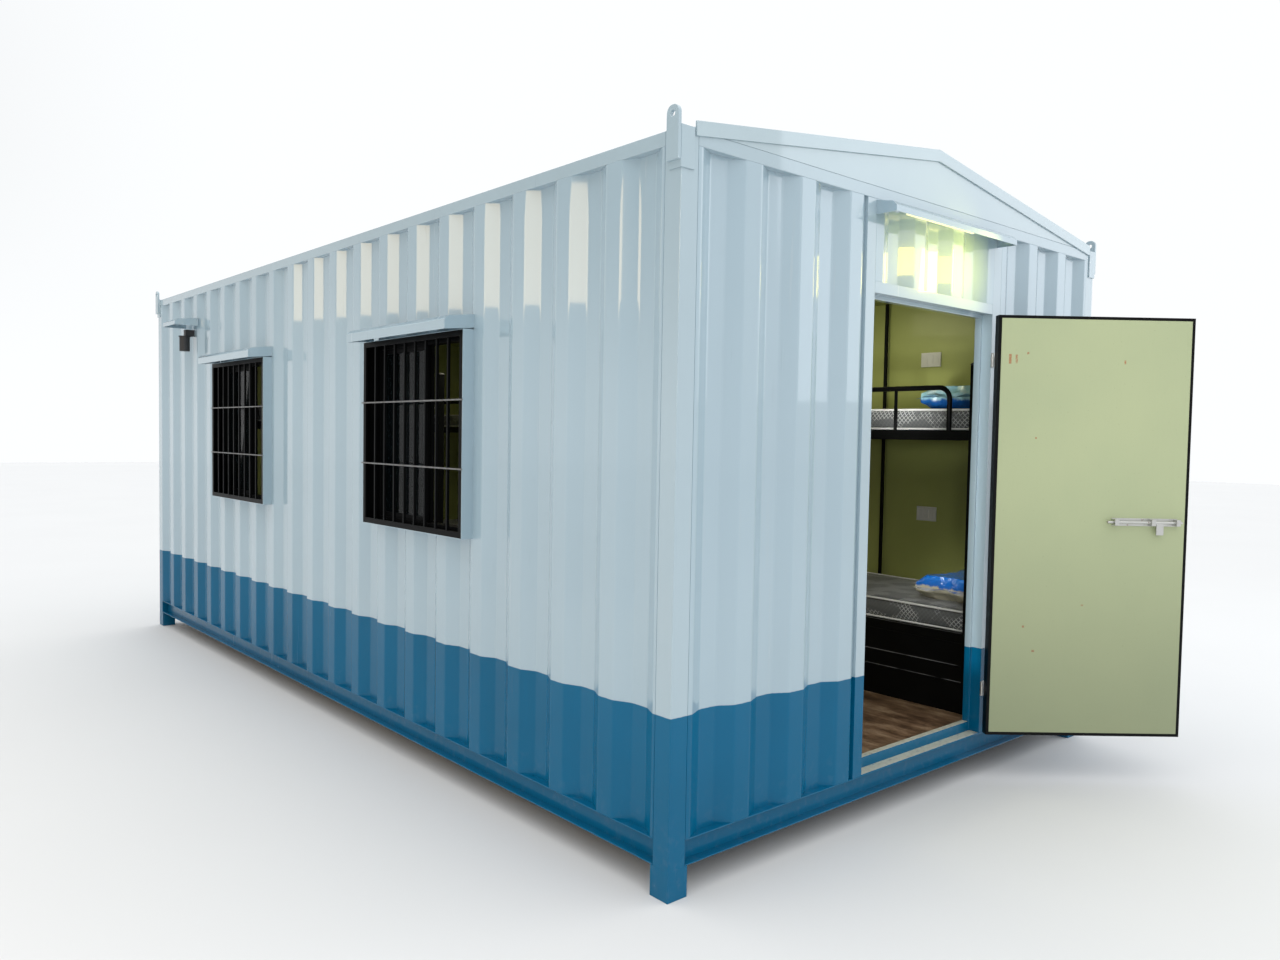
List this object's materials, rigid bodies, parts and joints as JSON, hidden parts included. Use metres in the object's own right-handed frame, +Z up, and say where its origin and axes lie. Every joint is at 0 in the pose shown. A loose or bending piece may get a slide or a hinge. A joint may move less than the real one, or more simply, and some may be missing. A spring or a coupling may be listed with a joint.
{
  "type": "portable steel bunkhouse cabin",
  "caption": "Portable cabin of corrugated steel on short legs with a pitched roof, barred windows, a hinged door with a sliding bolt, and three bunk beds inside.",
  "frame": {"origin": "on the ground, below the middle of the cabin with its door open as in the picture", "axes": "+Z up, +Y from the door end to the back along the long side, +X to the right seen from in front of the door"},
  "size_m": [3.355, 6.7534, 2.8552],
  "materials": {
    "wall_paint": "gloss off-white paint with a blue band at the foot",
    "frame_paint": "gloss off-white paint, blue below the band line",
    "lining_board": "cream laminate board",
    "floor_vinyl": "brown wood pattern vinyl on cement board",
    "black_metal": "black powder coat",
    "tinted_glass": "dark tinted glass",
    "mattress_fabric": "quilted grey-white ticking",
    "pillow_wrap": "pillow in a clear and blue wrap",
    "white_plastic": "white moulded plastic",
    "black_plastic": "black moulded plastic",
    "lamp_lens": "opal lamp lens",
    "bright_steel": "zinc plated steel"
  },
  "bodies": {
    "cabin": {"corner_legs": "frame_paint", "corner_posts": "frame_paint", "lifting_lugs": "frame_paint", "base_side_rails": "frame_paint", "base_end_rails": "frame_paint", "floor_joists": "frame_paint", "floor_board": "floor_vinyl", "top_side_rails": "frame_paint", "top_end_rails": "frame_paint", "near_wall_panels": "wall_paint", "far_wall_panels": "wall_paint", "near_window_bays": "wall_paint", "far_window_bays": "wall_paint", "door_end_panels": "wall_paint", "door_transom": "wall_paint", "back_wall_panel": "wall_paint", "gables": "wall_paint", "roof_panels": "wall_paint", "ridge_cap": "wall_paint", "barge_trims": "wall_paint", "near_lining": "lining_board", "far_lining": "lining_board", "end_linings": "lining_board", "ceiling_board": "lining_board", "door_jambs": "frame_paint", "door_head": "frame_paint", "door_sill": "frame_paint", "rain_hoods": "wall_paint", "door_lamp": "lamp_lens", "power_inlet": "black_plastic", "window_surrounds": "wall_paint", "window_frames": "black_metal", "window_sashes": "black_metal", "window_panes": "tinted_glass", "window_grilles": "black_metal", "bunk_posts": "black_metal", "bunk_decks": "black_metal", "bunk_base_panel": "black_metal", "bunk_guard": "black_metal", "mattresses": "mattress_fabric", "pillows": "pillow_wrap", "socket_plates": "white_plastic", "hinge_pins": "bright_steel", "bolt_keeper": "bright_steel"},
    "door": {"door_edge_frame": "black_metal", "door_leaf": "wall_paint", "door_inner_panel": "lining_board", "door_hinge_straps": "bright_steel", "bolt_brackets": "bright_steel"},
    "door_bolt": {"bolt_rod": "bright_steel"}
  },
  "joints": [
    {"name": "door_hinge", "type": "hinge", "parent": "cabin", "child": "door", "pos_m": [0.495, -2.7353, 1.2], "axis": [0, 0, 1], "range_deg": [-139.7, 30]},
    {"name": "bolt_slide", "type": "slide", "parent": "door", "child": "door_bolt", "axis": [0.7627, -0.6468, 0], "range_m": [0, 0.028]}
  ]
}
